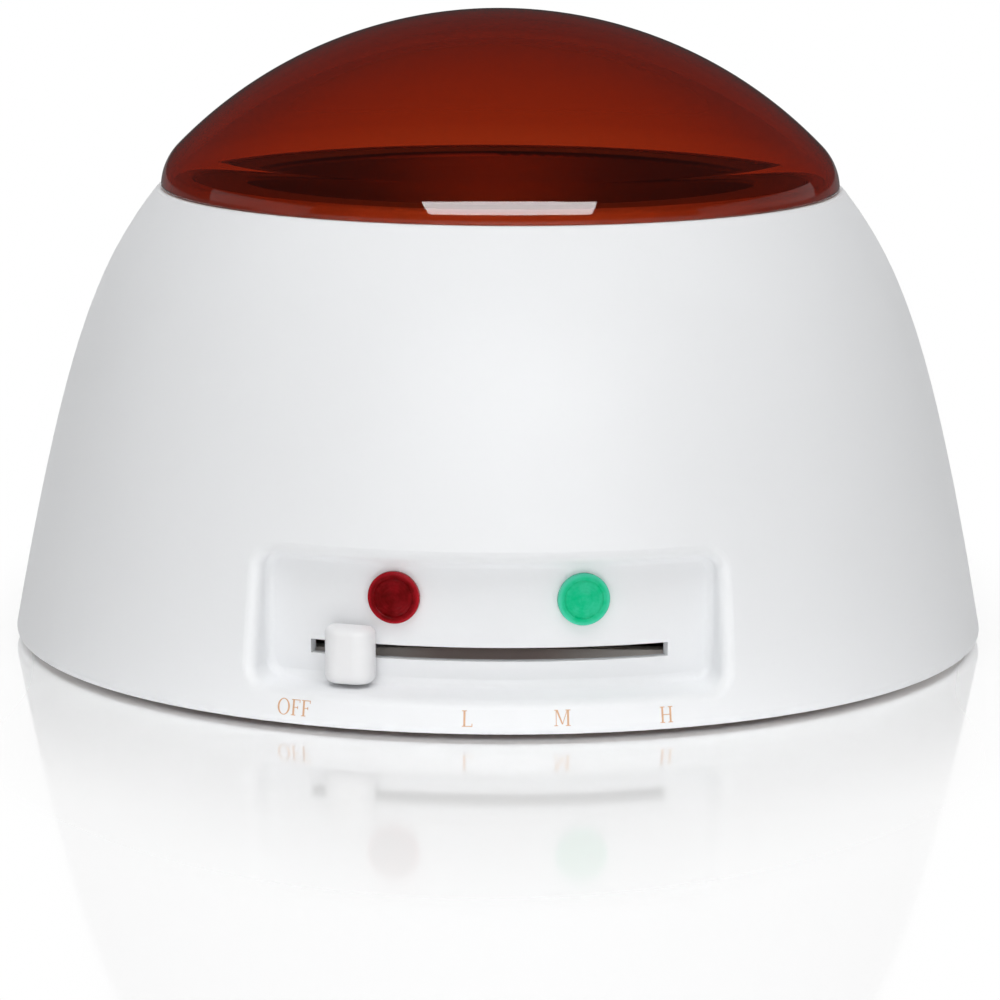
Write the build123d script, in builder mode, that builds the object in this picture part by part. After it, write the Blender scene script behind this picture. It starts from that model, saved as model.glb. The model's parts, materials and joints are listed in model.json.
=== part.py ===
"""Wax warmer: a heated aluminium pot in a round plastic housing, under a domed lid.

Millimetres, +Z up. The origin is on the surface that the feet stand on, on the upright
axis of the housing. The control panel faces -Y. Angles about the axis are in degrees from
the front, and positive to the right as seen from the front.
"""
from math import cos, degrees, hypot, radians, sin, sqrt, tan
import os

from build123d import *

# ---------------------------------------------------------------- driving dimensions
# housing
foot_height = 1.0  # the housing's bottom edge above the floor
base_draft = 10.3  # lean of the side at the bottom edge
base_reach = 63.0  # how far up the side keeps that lean
ledge_height = 93.0  # top of the ledge that the lid stands on
shoulder_lean = 38.1  # lean of the side where it meets the ledge
shoulder_reach = 19.1
housing_wall = 2.4
bottom_edge_round = 1.5
ledge_edge_round = 0.8
neck_height = 2.4  # the low ring that stands up inside the lid's rim
neck_wall = 3.9
neck_round = 0.9

# lid
lid_clearance = 0.5  # between the neck and the inside of the lid's rim
lid_wall = 2.0
lid_rise = 36.3
lid_edge_round = 12.0

# pot
pot_radius = 52.0  # inside
pot_depth = 70.0
pot_wall = 1.2
pot_floor = 3.0
pot_corner = 6.0
flange_thickness = 1.2
flange_gap = 0.4  # between the flange and the neck around it
seal_thickness = 1.0
mouth_gap = 3.8  # between the pot and the hole that it hangs in
flange_seat = 5.7  # width of the seal that the flange rests on

# heating
snug = 0.15  # radial gap between pieces that are slipped over each other
heater_thickness = 1.2
heater_height = 30.0
heater_rise = 8.0  # above the pot's underside
heater_split = 10.0  # degrees left open at the back
insulation_thickness = 5.0
shield_thickness = 0.6
shield_top_gap = 2.1
tab_width = 7.0  # heater terminals at the back
tab_thickness = 1.0
tab_reach = 8.0
window_width = 26.0  # opening in shield and insulation for the terminals
window_height = 20.0

# pot bracket
bracket_thickness = 1.4
bracket_width = 14.0
bracket_ring_inner = 19.0
bracket_ring_outer = 25.0
pillar_gap = 3.55  # between heat shield and pillar
pillar_radius = 4.0

# control panel recess
panel_setback = 10.7  # from the base's edge in to the recess's floor
panel_half_width = 42.4  # at the recess's floor
panel_side_slope = 13.0  # degrees that the sides open outward
panel_bottom = 8.0
panel_top = 32.1
panel_ledge_slope = 3.6
panel_brow_slope = 3.4
panel_wall = 2.2
panel_corner = 3.2
panel_floor_round = 1.5
panel_rim_round = 2.0

# slide control
slot_height = 2.7
slot_level = 14.2
slot_angle = 22.15
stem_width = 4.5
stem_clearance = 0.35  # above and below the stem in the slot
knob_rest_angle = -16.4
knob_width = 9.6
knob_ledge_gap = 0.45  # between the knob and the recess's ledge under it
knob_lens_gap = 0.45  # between the knob and the lenses that it passes under
knob_stand_off = 0.8
knob_thickness = 5.2
knob_side_round = 3.4
knob_edge_round = 1.5
knob_heel = 0.9  # bevel that clears the round at the back of the ledge
stem_in_knob = 3.4
ramp_length = 11.0  # the stretch where the arm rises to the slot
ramp_setback = 19.0  # from the recess's floor to the ramp's end
stem_shoulder = 3.0  # from the ramp's end to where the arm narrows to the stem
shaft_depth = 6.0  # how far the shaft goes into the thermostat
hub_screw_length = 5.0
arm_width = 8.0
arm_level = 7.4  # underside of the arm at its hub
hub_radius = 8.0
shaft_radius = 3.0
shaft_running_gap = 0.05
rib_gap = 0.3
rib_width = 3.0
rib_setback = 13.0  # from the recess's floor
rib_length = 70.0  # the rib also closes off the view through the slot

# thermostat and fuse
thermostat_radius = 11.0
thermostat_height = 10.2
ear_thickness = 1.5
ear_width = 9.0
ear_screw_distance = 13.5
pot_screw_depth = 2.2
terminal_drop = 5.0
terminal_width = 6.0
terminal_thickness = 0.8
terminal_reach = 6.0
fuse_radius = 2.0
fuse_length = 14.0
fuse_distance = 36.0
fuse_angle = 150.0
clip_thickness = 0.8
clip_width = 6.0
clip_foot = 8.0

# indicator lamps
lamp_angle = 11.4
lamp_level = 24.85
lens_radius = 5.0
lens_thickness = 1.3
lens_shank = 3.9
lens_shank_depth = 5.0
lens_wall = 0.8
lens_bevel = 0.4
lens_rim = 0.5  # width of the flat rim round the dish
lens_dish = 0.3
lens_hole_clearance = 0.1
lens_front_wall = 1.8
bulb_radius = 2.6
bulb_front_gap = 0.6
board_gap = 9.55  # between the heat shield and the lamp board
board_setback = 20.0  # from the recess's floor to the board's back
board_width = 64.0
board_height = 12.6
board_thickness = 1.6
board_screw_inset = 4.0
board_boss_radius = 2.8
board_screw_depth = 7.0
board_corner = 1.5
resistor_radius = 1.3
resistor_length = 7.0

# bottom cover
cover_recess = 0.6
cover_thickness = 2.4
cover_gap = 0.4
cover_rim = 2.0  # height of the low ring on the cover
cover_rim_width = 2.0
cover_rim_gap = 3.0  # between the low ring and the vents
boss_inset = 14.7  # from the base's edge
boss_radius = 4.2
boss_angle = 48.0
pad_height = 2.2
pad_margin = 1.2  # how far a screw pad stands out round its boss
vent_width = 3.0
vent_length = 15.0
vent_distance = 60.0
vent_count = 24
foot_radius = 6.0
foot_inset = 16.7  # from the base's edge
foot_angle = 28.0
foot_seat = 1.2
foot_plug_radius = 2.0

# screws
screw_radius = 1.6
screw_head_radius = 3.0
screw_head_height = 1.8
screw_length = 10.0
screw_slack = 0.05
small_screw_radius = 1.2
small_screw_head = 2.3
small_screw_head_height = 1.3

# cord inlet
inlet_level = 16.5
inlet_width = 24.0
inlet_height = 19.0
inlet_corner = 3.0
inlet_setback = 6.4  # from the base's edge in to the floor of the pocket at the back
gland_bore = 3.4
gland_radius = 6.4
gland_flange = 8.4
gland_flange_thickness = 2.4
gland_barrel = 6.0
clamp_setback = 17.3  # from the pocket's floor to the clamp's middle
clamp_width = 26.0
clamp_depth = 8.0
clamp_gap = 0.5
clamp_thickness = 4.5
clamp_screw_inset = 4.0

# terminal block
block_angle = 112.0
block_inset = 23.7  # from the base's edge
block_length = 27.0
block_depth = 13.0
block_height = 11.0
block_poles = 3
terminal_radius = 1.9
block_ear = 5.0
block_ear_height = 3.0
block_corner = 1.0
terminal_screw_sink = 1.0  # from the block's top to the screw's head
terminal_slot = 0.5  # width and depth of the slot in a terminal screw

# wires
wire_radius = 0.9
wire_drop = 6.0  # height of the last bend above the terminal block
wire_spacing = 2.6
heater_lead_exit = 6.0  # straight run out of a heater terminal
# bends of each lead: distance outside the wire ring, angle, height above the lead's start
heater_lead_bends = [
    [(-7.8, 152.0, -4.0), (-6.8, 132.0, -7.0)],
    [(-5.2, -200.0, 4.0), (-5.2, -224.0, 1.0)],
]
lamp_lead_exits = [5.0, 6.5]  # straight runs out of the board
lamp_lead_bends = [
    [(-4.6, 49.0, 0.0), (1.0, 78.0, 4.0), (3.0, 97.0, 5.0)],
    [(-7.6, 46.0, 0.0), (-2.1, 76.0, 4.0), (-1.1, 93.0, 5.0)],
]

# ---------------------------------------------------------------- derived levels and radii
# from the pot outwards: pot, heating, housing
pot_outer_radius = pot_radius + pot_wall
mouth_radius = pot_outer_radius + mouth_gap
flange_radius = mouth_radius + flange_seat
heater_inner = pot_outer_radius + snug
heater_outer = heater_inner + heater_thickness
insulation_inner = heater_outer + snug
insulation_outer = insulation_inner + insulation_thickness
shield_inner = insulation_outer + snug
shield_outer = shield_inner + shield_thickness
pillar_distance = shield_outer + pillar_gap + pillar_radius
board_distance = shield_outer + board_gap
panel_radius = board_distance + board_setback
base_radius = panel_radius + panel_setback

# from the flange outwards: neck, lid, ledge
lid_inner_edge = lid_edge_round - lid_wall
neck_taper = lid_inner_edge - sqrt(lid_inner_edge**2 - neck_height**2)
neck_inner_radius = flange_radius + flange_gap
neck_radius = neck_inner_radius + neck_wall + neck_taper
lid_inner_radius = neck_radius + lid_clearance
lid_radius = lid_inner_radius + lid_wall
ledge_radius = lid_radius + ledge_edge_round

# distances from the axis, set in from the recess, the base's edge or the pocket at the back
rib_distance = panel_radius - rib_setback
ramp_end = panel_radius - ramp_setback
ramp_start = ramp_end - ramp_length
stem_start = ramp_end + stem_shoulder
inlet_distance = base_radius - inlet_setback
inlet_inner = inlet_distance - housing_wall
clamp_distance = inlet_distance - clamp_setback
gland_end = inlet_inner - gland_barrel
boss_distance = base_radius - boss_inset
foot_distance = base_radius - foot_inset
block_distance = base_radius - block_inset
wire_ring = block_distance  # the leads run near this distance from the axis

# levels
cover_bottom = foot_height + cover_recess
cover_top = cover_bottom + cover_thickness
boss_bottom = cover_top + pad_height
block_bottom = cover_top + pad_height
ledge_underside = ledge_height - housing_wall
neck_top = ledge_height + neck_height
flange_bottom = ledge_height + seal_thickness
flange_top = flange_bottom + flange_thickness
pot_inside_floor = flange_top - pot_depth
pot_underside = pot_inside_floor - pot_floor
bracket_bottom = pot_underside - bracket_thickness
heater_bottom = pot_underside + heater_rise
shield_top = ledge_underside - shield_top_gap
thermostat_bottom = pot_underside - thermostat_height

# slide control and lamp board
arm_thickness = slot_height - 2 * stem_clearance
stem_bottom = slot_level - arm_thickness / 2
knob_back = panel_radius + knob_stand_off
knob_bottom = panel_bottom + knob_ledge_gap
knob_top = lamp_level - lens_radius - knob_lens_gap
stem_end = knob_back + stem_in_knob
board_front = board_distance + board_thickness


# ---------------------------------------------------------------- helpers
def polar(radius, angle, height):
    """Point at a radius and height, at an angle from the front."""
    return (radius * sin(radians(angle)), -radius * cos(radians(angle)), height)


def radial_plane(angle):
    """Upright plane through the axis: x runs outward, y runs up."""
    out = polar(1, angle, 0)
    return Plane(origin=(0, 0, 0), x_dir=out, z_dir=(out[1], -out[0], 0))


def facing_plane(angle, radius, height):
    """Upright plane that faces outward: x runs to the right, y runs up."""
    out = polar(1, angle, 0)
    return Plane(origin=polar(radius, angle, height), x_dir=(-out[1], out[0], 0), z_dir=out)


def lying_plane(angle, radius, height):
    """Level plane at a place off the axis, with its x along the tangent."""
    out = polar(1, angle, 0)
    return Plane(origin=polar(radius, angle, height), x_dir=(-out[1], out[0], 0), z_dir=(0, 0, 1))


def side_points(inset):
    """The four control points of the housing's side, moved inward by a wall."""
    foot = Vector(base_radius - inset * cos(radians(base_draft)), foot_height)
    top = Vector(ledge_radius - inset, ledge_height - inset)
    low = foot + Vector(-sin(radians(base_draft)), cos(radians(base_draft))) * base_reach
    high = top + Vector(sin(radians(shoulder_lean)), -cos(radians(shoulder_lean))) * shoulder_reach
    return [foot, low, high, top]


def side_radius(height, inset=0.0):
    """Radius of the housing's side at a height."""
    p = side_points(inset)
    low, high = 0.0, 1.0
    for _ in range(40):
        t = (low + high) / 2
        s = 1 - t
        z = s**3 * p[0].Y + 3 * s * s * t * p[1].Y + 3 * s * t * t * p[2].Y + t**3 * p[3].Y
        low, high = (t, high) if z < height else (low, t)
    return s**3 * p[0].X + 3 * s * s * t * p[1].X + 3 * s * t * t * p[2].X + t**3 * p[3].X


def write(piece, name):
    """Label a finished sub-part and write its STEP file."""
    piece.part.label = name
    export_step(piece.part, f"parts/{name}.step")


def ring(inner, outer, bottom, top):
    """An upright ring."""
    with BuildPart() as made:
        with BuildSketch(Plane.XY.offset(bottom)):
            Circle(outer)
            Circle(inner, mode=Mode.SUBTRACT)
        extrude(amount=top - bottom)
    return made.part


def screw(plane, radius, head_radius, head_height, length):
    """A pan-head screw that seats on a plane, with its head along the plane's normal."""
    drive = radius * 0.5
    with BuildPart() as made:
        with BuildSketch(Plane(origin=plane.origin, x_dir=plane.x_dir, z_dir=-plane.y_dir)):
            with BuildLine():
                Polyline(
                    (0, -length),
                    (radius * 0.4, -length),
                    (radius, -length + radius),
                    (radius, 0),
                    (head_radius, 0),
                    (head_radius, head_height * 0.5),
                    (head_radius * 0.75, head_height),
                    (drive, head_height),
                    (drive, head_height * 0.6),
                    (0, head_height * 0.6),
                    close=True,
                )
            make_face()
        revolve(axis=Axis(plane.origin, plane.z_dir))
    return made.part


# lengths that more than one piece needs
back_angle = 180.0
lamp_places = {"red": -lamp_angle, "green": lamp_angle}
boss_angles = [boss_angle - back_angle, -boss_angle, boss_angle, back_angle - boss_angle]
foot_angles = [foot_angle - back_angle, -foot_angle, foot_angle, back_angle - foot_angle]
board_screw_places = [board_screw_inset - board_width / 2, board_width / 2 - board_screw_inset]
block_screw_places = [-(block_length - block_ear) / 2, (block_length - block_ear) / 2]
clamp_screw_places = [clamp_screw_inset - clamp_width / 2, clamp_width / 2 - clamp_screw_inset]

os.makedirs("parts", exist_ok=True)

# ---------------------------------------------------------------- housing
panel_deep = 1.1 * base_radius  # past the outside of the housing
panel_sweep = 45.0  # half angle that holds all of the recess


def panel_section(grow):
    """Corners of the recess in the radius-height plane, grown by a wall."""
    depth = panel_deep - panel_radius
    drop = depth * tan(radians(panel_ledge_slope))
    climb = depth * tan(radians(panel_brow_slope))
    return [
        (panel_radius - grow, panel_bottom - grow),
        (panel_deep, panel_bottom - drop - grow),
        (panel_deep, panel_top + climb + grow),
        (panel_radius - grow, panel_top + grow),
    ]


def recess_side(y):
    """Half width of the recess at a place along Y."""
    corner = sqrt(panel_radius**2 - panel_half_width**2)
    return panel_half_width + (-y - corner) * tan(radians(panel_side_slope))


def recess_blank(grow):
    """The recess before its edges are rounded, grown by a wall."""
    far, near = -panel_deep, -panel_radius / 2
    with BuildPart() as made:
        with BuildSketch(radial_plane(-panel_sweep)):
            with BuildLine():
                Polyline(*panel_section(grow), close=True)
            make_face()
        revolve(axis=Axis.Z, revolution_arc=2 * panel_sweep)
        with BuildSketch(Plane.XY):
            with BuildLine():
                Polyline(
                    (-recess_side(far) - grow, far),
                    (recess_side(far) + grow, far),
                    (recess_side(near) + grow, near),
                    (-recess_side(near) - grow, near),
                    close=True,
                )
            make_face()
        extrude(amount=ledge_height, mode=Mode.INTERSECT)
    return made.part


def on_recess_side(edge):
    """Whether an edge runs outward along a side of the recess."""
    middle = edge.position_at(0.5)
    on_side = abs(abs(middle.X) - recess_side(middle.Y)) < 0.01
    return on_side and abs(edge.tangent_at(0).Z) < 0.5


def on_recess_rim(edge):
    """Whether an edge is where the recess meets the side of the housing."""
    middle = edge.position_at(0.5)
    at_front = middle.Y < 0 and abs(middle.X) < panel_half_width + panel_setback
    low_enough = foot_height + bottom_edge_round < middle.Z < panel_top + 2 * panel_corner
    on_side = abs(hypot(middle.X, middle.Y) - side_radius(middle.Z)) < 0.05
    return at_front and low_enough and on_side


with BuildPart() as recess:
    add(recess_blank(0))
    fillet(recess.edges().filter_by(on_recess_side), panel_corner)
    floor_edges = recess.edges().filter_by(
        lambda edge: all(hypot(edge.position_at(t).X, edge.position_at(t).Y) < panel_radius + 0.01
                         for t in (0, 0.5, 1))
    )
    fillet(floor_edges, panel_floor_round)


def hollow(side_wall, panel_backing):
    """The space inside the housing's walls, under its ledge."""
    inner = side_points(side_wall)
    with BuildPart() as made:
        with BuildSketch(Plane.XZ):
            with BuildLine():
                Bezier(*inner)
                Polyline(
                    inner[3],
                    (0, inner[3].Y),
                    (0, foot_height - 1),
                    (inner[0].X, foot_height - 1),
                    inner[0],
                )
            make_face()
        revolve(axis=Axis.Z)
        add(recess_blank(panel_backing), mode=Mode.SUBTRACT)
        with BuildSketch(Plane.XZ.offset(-inlet_distance + side_wall)):
            with Locations((0, inlet_level)):
                Rectangle(inlet_width + 2 * side_wall, inlet_height + 2 * side_wall)
        extrude(amount=-base_radius, mode=Mode.SUBTRACT)
    return made.part


with BuildPart() as pillars:
    with BuildSketch(Plane.XY.offset(boss_bottom)):
        for angle in boss_angles:
            with Locations(polar(boss_distance, angle, 0)[:2]):
                Circle(boss_radius)
    extrude(amount=ledge_underside - boss_bottom)
    with BuildSketch(Plane.XY.offset(pot_underside)):
        with Locations((-pillar_distance, 0), (pillar_distance, 0)):
            Circle(pillar_radius)
    extrude(amount=ledge_underside - pot_underside)
    for place in board_screw_places:
        with BuildSketch(Plane.XZ.offset(board_front)):
            with Locations((place, lamp_level)):
                Circle(board_boss_radius)
        extrude(amount=panel_radius - board_front)
    add(hollow(housing_wall / 2, panel_wall / 2), mode=Mode.INTERSECT)

with BuildPart() as housing:
    with BuildSketch(Plane.XZ):
        with BuildLine():
            outer = side_points(0)
            Bezier(*outer)
            Polyline(
                outer[3],
                (neck_radius, ledge_height),
                (neck_radius - neck_taper, neck_top),
                (0, neck_top),
                (0, foot_height),
                outer[0],
            )
        make_face()
    revolve(axis=Axis.Z)
    bottom_edge = housing.edges().filter_by(GeomType.CIRCLE).sort_by(Axis.Z)[0]
    fillet(bottom_edge, bottom_edge_round)
    ledge_edge = housing.edges().filter_by(GeomType.CIRCLE).filter_by(
        lambda edge: abs(edge.radius - ledge_radius) < 0.01
    )
    fillet(ledge_edge, ledge_edge_round)
    add(recess.part, mode=Mode.SUBTRACT)
    rim_edges = housing.edges().filter_by(on_recess_rim)
    fillet(rim_edges, panel_rim_round)
    with BuildSketch(Plane.XZ.offset(-inlet_distance)):
        with Locations((0, inlet_level)):
            RectangleRounded(inlet_width, inlet_height, inlet_corner)
    extrude(amount=-base_radius, mode=Mode.SUBTRACT)
    add(hollow(housing_wall, panel_wall), mode=Mode.SUBTRACT)
    with BuildSketch(Plane.XY.offset(ledge_height)):
        Circle(neck_inner_radius)
    extrude(amount=neck_height, mode=Mode.SUBTRACT)
    with BuildSketch(Plane.XY.offset(ledge_underside - 1)):
        Circle(mouth_radius)
    extrude(amount=housing_wall + 1, mode=Mode.SUBTRACT)
    neck_edges = housing.edges().filter_by(GeomType.CIRCLE).group_by(Axis.Z)[-1]
    fillet(neck_edges, neck_round)
    add(pillars.part)
    # slot for the slide control
    with BuildSketch(radial_plane(-slot_angle)):
        with Locations((panel_radius, slot_level)):
            Rectangle(4 * panel_wall, slot_height)
    revolve(axis=Axis.Z, revolution_arc=2 * slot_angle, mode=Mode.SUBTRACT)
    # holes for the lenses
    for angle in lamp_places.values():
        with BuildSketch(facing_plane(angle, panel_radius + 1, lamp_level)):
            Circle(lens_shank + lens_hole_clearance)
        extrude(amount=-2 * panel_wall, mode=Mode.SUBTRACT)
    # hole for the cord inlet
    with BuildSketch(Plane.XZ.offset(-inlet_distance - 1)):
        with Locations((0, inlet_level)):
            Circle(gland_radius + snug)
    extrude(amount=2 * housing_wall, mode=Mode.SUBTRACT)
    # screw holes
    for angle in boss_angles:
        with BuildSketch(lying_plane(angle, boss_distance, boss_bottom)):
            Circle(screw_radius + screw_slack)
        extrude(amount=screw_length, mode=Mode.SUBTRACT)
    for angle in (-90, 90):
        with BuildSketch(lying_plane(angle, pillar_distance, pot_underside)):
            Circle(screw_radius + screw_slack)
        extrude(amount=screw_length, mode=Mode.SUBTRACT)
    for place in board_screw_places:
        with BuildSketch(Plane.XZ.offset(board_front)):
            with Locations((place, lamp_level)):
                Circle(small_screw_radius + screw_slack)
        extrude(amount=board_screw_depth, mode=Mode.SUBTRACT)
write(housing, "housing")

# ---------------------------------------------------------------- lid
def dome_points(radius, rise, edge_round):
    """Crown radius and the point where the crown meets the rounded edge."""
    flat = radius - edge_round
    crown = (flat**2 + rise**2 - edge_round**2) / (2 * (rise - edge_round))
    share = crown / (crown - edge_round)
    meet = (flat * share, (rise - crown) * (1 - share))
    return crown, meet


with BuildPart() as lid:
    with BuildSketch(Plane.XZ):
        for radius, rise, mode in (
            (lid_radius, lid_rise, Mode.ADD),
            (lid_inner_radius, lid_rise - lid_wall, Mode.SUBTRACT),
        ):
            edge = lid_edge_round - (lid_radius - radius)
            crown, meet = dome_points(radius, rise, edge)
            with BuildLine():
                base = ledge_height
                RadiusArc((0, base + rise), (meet[0], base + meet[1]), crown)
                RadiusArc((meet[0], base + meet[1]), (radius, base), edge)
                Polyline((radius, base), (0, base), (0, base + rise))
            make_face(mode=mode)
    revolve(axis=Axis.Z)
    rim_edges = lid.edges().filter_by(GeomType.CIRCLE).group_by(Axis.Z)[0]
    fillet(rim_edges, lid_wall * 0.3)
write(lid, "lid")

# ---------------------------------------------------------------- pot, seal and bracket
with BuildPart() as pot:
    with BuildSketch(Plane.XY.offset(pot_underside)):
        Circle(pot_outer_radius)
    extrude(amount=flange_top - pot_underside)
    fillet(pot.edges().group_by(Axis.Z)[0], pot_corner)
    with BuildSketch(Plane.XY.offset(flange_bottom)):
        Circle(flange_radius)
    extrude(amount=flange_thickness)
    with BuildPart(mode=Mode.SUBTRACT) as well:
        with BuildSketch(Plane.XY.offset(pot_inside_floor)):
            Circle(pot_radius)
        extrude(amount=pot_depth)
        fillet(well.edges().group_by(Axis.Z)[0], pot_corner - pot_wall)
    mouth_edge = pot.edges().filter_by(GeomType.CIRCLE).filter_by(
        lambda edge: abs(edge.radius - pot_radius) < 0.01 and edge.center().Z > flange_bottom
    )
    fillet(mouth_edge, flange_thickness * 0.9)
    outer_edge = pot.edges().filter_by(GeomType.CIRCLE).filter_by(
        lambda edge: abs(edge.radius - flange_radius) < 0.01
    )
    fillet(outer_edge, flange_thickness * 0.35)
    for place in (-ear_screw_distance, ear_screw_distance):
        with BuildSketch(Plane.XY.offset(pot_underside)):
            with Locations((0, place)):
                Circle(small_screw_radius + screw_slack)
        extrude(amount=pot_screw_depth, mode=Mode.SUBTRACT)
write(pot, "pot")

with BuildPart() as pot_seal:
    add(ring(mouth_radius + snug, flange_radius, ledge_height, flange_bottom))
write(pot_seal, "pot_seal")

with BuildPart() as pot_bracket:
    with BuildSketch(Plane.XY.offset(bracket_bottom)):
        SlotCenterToCenter(2 * pillar_distance, bracket_width)
        Circle(bracket_ring_outer)
        Circle(bracket_ring_inner, mode=Mode.SUBTRACT)
        with Locations((-pillar_distance, 0), (pillar_distance, 0)):
            Circle(screw_radius + 2 * screw_slack, mode=Mode.SUBTRACT)
    extrude(amount=bracket_thickness)
write(pot_bracket, "pot_bracket")

with BuildPart() as bracket_screws:
    for angle in (-90, 90):
        seat = lying_plane(angle, pillar_distance, bracket_bottom)
        seat = Plane(origin=seat.origin, x_dir=seat.x_dir, z_dir=(0, 0, -1))
        add(screw(seat, screw_radius, screw_head_radius, screw_head_height, screw_length))
write(bracket_screws, "bracket_screws")

# ---------------------------------------------------------------- heating
with BuildPart() as heater_band:
    add(ring(heater_inner, heater_outer, heater_bottom, heater_bottom + heater_height))
    with BuildSketch(radial_plane(back_angle - heater_split / 2)):
        with Locations((heater_outer, heater_bottom + heater_height / 2)):
            Rectangle(4 * heater_thickness, heater_height + 2)
    revolve(axis=Axis.Z, revolution_arc=heater_split, mode=Mode.SUBTRACT)
write(heater_band, "heater_band")

window_level = heater_bottom + window_height / 2
with BuildPart() as insulation_sleeve:
    bottom = pot_underside + shield_thickness
    add(ring(insulation_inner, insulation_outer, bottom, shield_top - snug))
    with BuildSketch(Plane.XZ):
        with Locations((0, window_level)):
            Rectangle(window_width, window_height)
    extrude(amount=-base_radius, mode=Mode.SUBTRACT)
write(insulation_sleeve, "insulation_sleeve")

with BuildPart() as heat_shield:
    add(ring(shield_inner, shield_outer, pot_underside, shield_top))
    add(ring(insulation_inner, shield_outer, pot_underside, pot_underside + shield_thickness))
    with BuildSketch(Plane.XZ):
        with Locations((0, window_level)):
            Rectangle(window_width, window_height)
    extrude(amount=-base_radius, mode=Mode.SUBTRACT)
write(heat_shield, "heat_shield")

tab_angle = heater_split / 2 + degrees(tab_width / 2 / heater_outer)
tab_level = heater_bottom + tab_width / 2
with BuildPart() as heater_terminals:
    for side in (-1, 1):
        angle = back_angle + side * tab_angle
        with BuildSketch(facing_plane(angle, heater_outer + snug, heater_bottom + tab_width)):
            RectangleRounded(tab_width * 0.7, tab_width, 1)
        extrude(amount=tab_thickness)
        with BuildSketch(facing_plane(angle, heater_outer + snug, tab_level)):
            Rectangle(tab_width * 0.35, tab_width * 0.4)
        extrude(amount=tab_reach)
write(heater_terminals, "heater_terminals")

# ---------------------------------------------------------------- thermostat and slide control
with BuildPart() as thermostat:
    with BuildSketch(Plane.XY.offset(thermostat_bottom)):
        Circle(thermostat_radius)
    extrude(amount=thermostat_height)
    fillet(thermostat.edges().group_by(Axis.Z)[0], 0.8)
    with BuildSketch(Plane.XY.offset(pot_underside - ear_thickness)):
        SlotCenterToCenter(2 * ear_screw_distance, ear_width, rotation=90)
    extrude(amount=ear_thickness)
    with BuildSketch(Plane.XY.offset(pot_underside - ear_thickness)):
        with Locations((0, -ear_screw_distance), (0, ear_screw_distance)):
            Circle(small_screw_radius + 2 * screw_slack)
    extrude(amount=ear_thickness, mode=Mode.SUBTRACT)
    with BuildSketch(Plane.XY.offset(thermostat_bottom)):
        Circle(shaft_radius + shaft_running_gap)
    extrude(amount=shaft_depth, mode=Mode.SUBTRACT)
    for side in (-1, 1):
        with BuildSketch(Plane.YZ.offset(side * (thermostat_radius - 0.5))):
            with Locations((0, thermostat_bottom + terminal_drop)):
                Rectangle(terminal_width, terminal_thickness)
        extrude(amount=side * terminal_reach)
write(thermostat, "thermostat")

with BuildPart() as thermostat_screws:
    for place in (-ear_screw_distance, ear_screw_distance):
        seat = Plane(origin=(0, place, pot_underside - ear_thickness), z_dir=(0, 0, -1))
        add(screw(seat, small_screw_radius, small_screw_head, small_screw_head_height,
                  ear_thickness + pot_screw_depth - 0.3))
write(thermostat_screws, "thermostat_screws")

with BuildPart() as control_shaft:
    with BuildSketch(Plane.XY.offset(arm_level)):
        Circle(shaft_radius)
    extrude(amount=thermostat_bottom + shaft_depth - 0.4 - arm_level)
    with BuildSketch(Plane.XY.offset(arm_level)):
        Circle(small_screw_radius + screw_slack)
    extrude(amount=hub_screw_length, mode=Mode.SUBTRACT)
write(control_shaft, "control_shaft")

arm_plane = radial_plane(knob_rest_angle)
with BuildPart() as control_arm:
    with BuildSketch(arm_plane):
        with BuildLine():
            Polyline(
                (0, arm_level),
                (ramp_start, arm_level),
                (ramp_end, stem_bottom),
                (stem_end, stem_bottom),
                (stem_end, stem_bottom + arm_thickness),
                (ramp_end, stem_bottom + arm_thickness),
                (ramp_start, arm_level + arm_thickness),
                (0, arm_level + arm_thickness),
                close=True,
            )
        make_face()
    extrude(amount=arm_width / 2, both=True)
    for side in (-1, 1):
        with BuildSketch(arm_plane.offset(side * stem_width / 2)):
            with Locations((stem_start, slot_level)):
                Rectangle(base_radius, 4 * arm_thickness, align=(Align.MIN, Align.CENTER))
        extrude(amount=side * arm_width, mode=Mode.SUBTRACT)
    with BuildSketch(Plane.XY.offset(arm_level)):
        Circle(hub_radius)
    extrude(amount=arm_thickness)
    with BuildSketch(Plane.XY.offset(arm_level)):
        Circle(shaft_radius + screw_slack)
    extrude(amount=arm_thickness, mode=Mode.SUBTRACT)
write(control_arm, "control_arm")

with BuildPart() as arm_screw:
    seat = Plane(origin=(0, 0, arm_level), z_dir=(0, 0, -1))
    add(screw(seat, small_screw_radius, shaft_radius + 1.2, small_screw_head_height,
              hub_screw_length - 0.5))
write(arm_screw, "arm_screw")

knob_out = Axis((0, 0, 0), polar(1, knob_rest_angle, 0))
with BuildPart() as slide_knob:
    with BuildSketch(lying_plane(knob_rest_angle, knob_back, knob_bottom)):
        Rectangle(knob_width, knob_thickness, align=(Align.CENTER, Align.MAX))
    extrude(amount=knob_top - knob_bottom)
    upright_edges = slide_knob.edges().filter_by(Axis.Z).sort_by(knob_out)[-2:]
    fillet(upright_edges, knob_side_round)
    level_faces = slide_knob.faces().filter_by(Axis.Z)
    back_face = slide_knob.faces().sort_by(knob_out)[0]
    back_edges = back_face.edges()
    fillet([edge for edge in level_faces.edges() if edge not in back_edges], knob_edge_round)
    heel_edge = slide_knob.faces().sort_by(knob_out)[0].edges().sort_by(Axis.Z)[0]
    chamfer(heel_edge, knob_heel)
    with BuildSketch(facing_plane(knob_rest_angle, knob_back, slot_level)):
        Rectangle(stem_width + 2 * snug, arm_thickness + 2 * snug)
    extrude(amount=stem_in_knob + snug, mode=Mode.SUBTRACT)
write(slide_knob, "slide_knob")

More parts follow.
